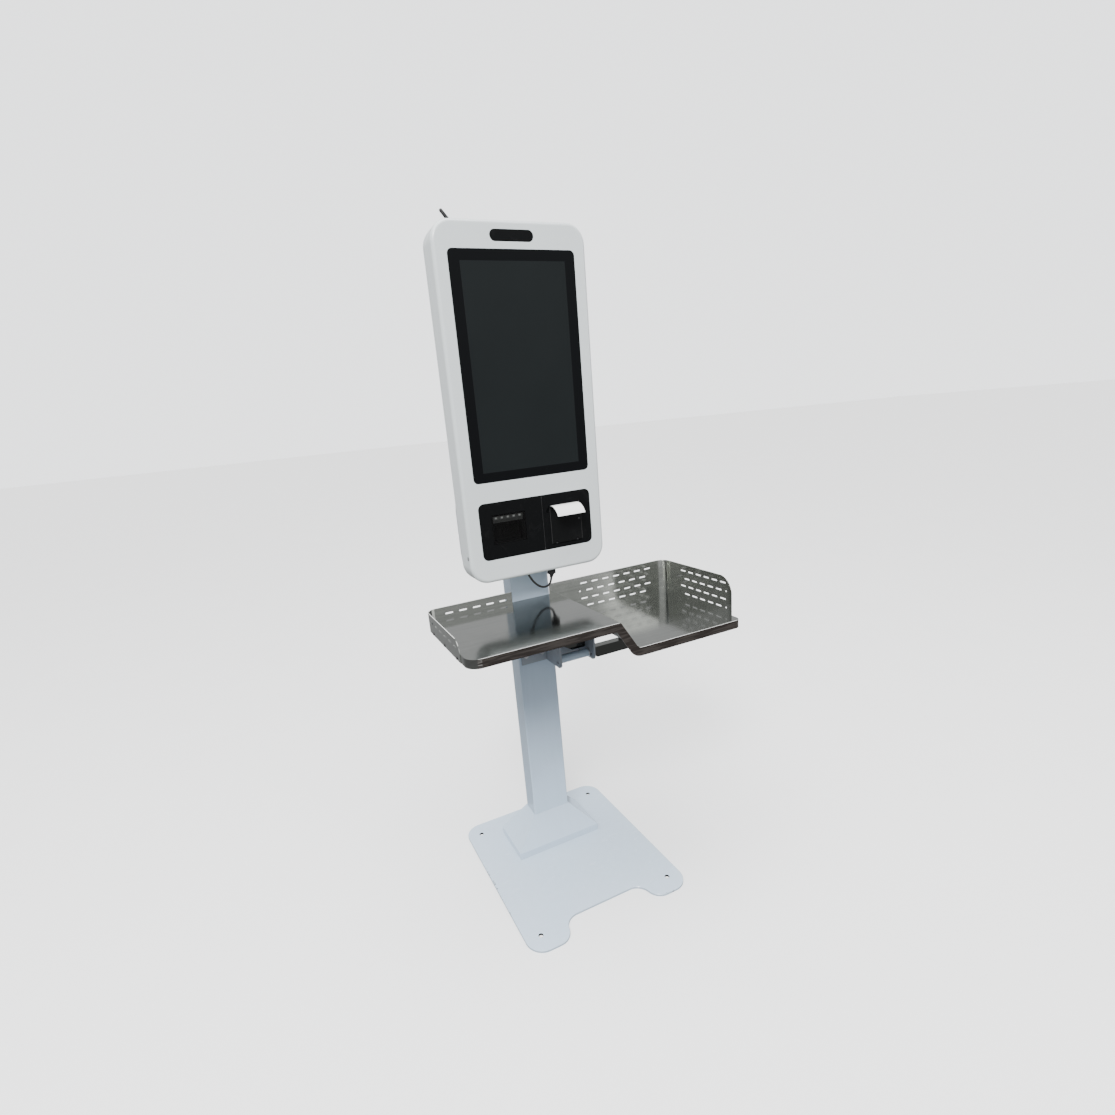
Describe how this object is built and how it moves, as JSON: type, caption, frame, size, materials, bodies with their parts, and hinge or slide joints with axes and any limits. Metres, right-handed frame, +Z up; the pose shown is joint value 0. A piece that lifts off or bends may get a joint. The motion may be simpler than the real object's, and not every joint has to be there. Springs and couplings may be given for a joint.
{
  "type": "self-service ticket kiosk",
  "caption": "Portrait touch-screen ticket kiosk on a column with a steel foot, a two-level stainless tray, receipt printer, scanner, hinged service door and a stub antenna",
  "frame": {"origin": "on the floor, under the base plate, at the centre of the four anchor holes", "axes": "+Z up, the screen faces -Y, +X is the side of the low tray bin"},
  "size_m": [0.7692, 0.544, 1.7891],
  "materials": {
    "body_paint": "semi-gloss pale powder coat with faint orange peel",
    "stand_paint": "smooth glossy pale grey powder coat, chipped at edges",
    "tray_steel": "brushed stainless sheet",
    "dark_steel": "dull stainless bar",
    "bracket_steel": "satin grey coat",
    "zinc_steel": "zinc plated",
    "black_bolt": "black oxide",
    "bolt_steel": "bright plated",
    "screen_glass": "black printed glass, polished",
    "lcd": "switched-off panel",
    "black_gloss": "piano black",
    "black_matte": "fine textured",
    "grey_plastic": "fine textured",
    "cover_plastic": "smooth black moulding",
    "pcb": "solder mask",
    "led_strip": "frosted",
    "paper": "thermal receipt paper",
    "roller_rubber": "ground rubber",
    "cord_black": "soft sheath",
    "button_red": "translucent",
    "galvanised": "galvanised sheet",
    "brass_nickel": "nickel plated"
  },
  "bodies": {
    "stand": {"base_plate": "stand_paint", "foot_bolts": "zinc_steel", "foot_cone": "stand_paint", "column_tube": "stand_paint", "column_cap": "black_matte", "power_inlet": "black_matte", "tray_bracket": "bracket_steel", "bracket_bolts": "zinc_steel", "bracket_tube": "stand_paint", "tray_studs": "zinc_steel", "bracket_web": "dark_steel", "support_rail": "dark_steel", "tray_pan": "tray_steel", "tray_wall_left": "tray_steel", "tray_wall_right": "tray_steel", "tray_screws": "black_bolt", "head_mount_plate": "bracket_steel", "mount_bolts": "zinc_steel", "rear_shell": "body_paint", "rear_housing": "grey_plastic", "mainboard": "pcb", "power_supply": "galvanised", "fan_housing": "black_matte", "antenna_socket": "brass_nickel", "data_cord": "cord_black", "data_plug": "black_matte", "strain_relief": "cord_black", "data_socket": "galvanised", "cord_gland": "black_matte", "hinge_leaf_frame": "zinc_steel", "hinge_pins": "bolt_steel", "latch_keeper": "zinc_steel"},
    "door": {"front_shell": "body_paint", "touch_glass": "screen_glass", "display_panel": "lcd", "display_frame": "galvanised", "touch_board": "pcb", "camera_window": "black_gloss", "camera_module": "pcb", "lower_panel": "black_gloss", "scanner_window": "black_gloss", "scanner_led_strip": "led_strip", "scanner_module": "black_matte", "printer_body": "black_matte", "thermal_head": "galvanised", "hinge_leaf_door": "zinc_steel", "latch_bush": "black_matte"},
    "cover": {"printer_cover": "cover_plastic", "paper_strip": "paper"},
    "platen": {"platen_roller": "roller_rubber"},
    "roll": {"paper_roll": "paper"},
    "button": {"feed_button": "black_matte"},
    "latch": {"latch_cam": "zinc_steel"},
    "antenna_base": {"antenna_elbow": "black_matte"},
    "antenna": {"antenna_rod": "cord_black"},
    "fan": {"fan_rotor": "black_matte"},
    "switch": {"power_switch": "button_red"}
  },
  "joints": [
    {"name": "door_hinge", "type": "hinge", "parent": "stand", "child": "door", "pos_m": [0.2005, 0.0505, 1.37], "axis": [0, 0, 1], "range_deg": [0, 105]},
    {"name": "latch_turn", "type": "hinge", "parent": "door", "child": "latch", "pos_m": [-0.19, 0.016, 0.968], "axis": [1, 0, 0], "range_deg": [0, 90]},
    {"name": "cover_hinge", "type": "hinge", "parent": "door", "child": "cover", "pos_m": [0.084, 0.0034, 0.9704], "axis": [1, 0, 0], "range_deg": [0, 75]},
    {"name": "platen_spin", "type": "hinge", "parent": "cover", "child": "platen", "pos_m": [0.084, 0.017, 1.062], "axis": [1, 0, 0], "continuous": true},
    {"name": "roll_spin", "type": "hinge", "parent": "door", "child": "roll", "pos_m": [0.084, 0.04, 1.008], "axis": [1, 0, 0], "continuous": true},
    {"name": "button_press", "type": "slide", "parent": "cover", "child": "button", "axis": [0, 1, 0], "range_m": [0, 0.0007], "stiffness_N_per_m": 800},
    {"name": "antenna_swivel", "type": "hinge", "parent": "stand", "child": "antenna_base", "pos_m": [-0.06, 0.0976, 1.7], "axis": [0, 1, 0], "range_deg": [-50, 120]},
    {"name": "antenna_tilt", "type": "hinge", "parent": "antenna_base", "child": "antenna", "pos_m": [-0.06, 0.106, 1.7], "axis": [0.7804, 0, 0.6252], "range_deg": [-90, 0]},
    {"name": "fan_spin", "type": "hinge", "parent": "stand", "child": "fan", "pos_m": [0.1, 0.0751, 1.6], "axis": [0, 1, 0], "continuous": true},
    {"name": "switch_rock", "type": "hinge", "parent": "stand", "child": "switch", "pos_m": [0, 0.1476, 0.208], "axis": [1, 0, 0], "range_deg": [0, 18]}
  ],
  "couplings": [
    {"joint": "platen_spin", "follows": "roll_spin", "ratio": -5.4}
  ]
}
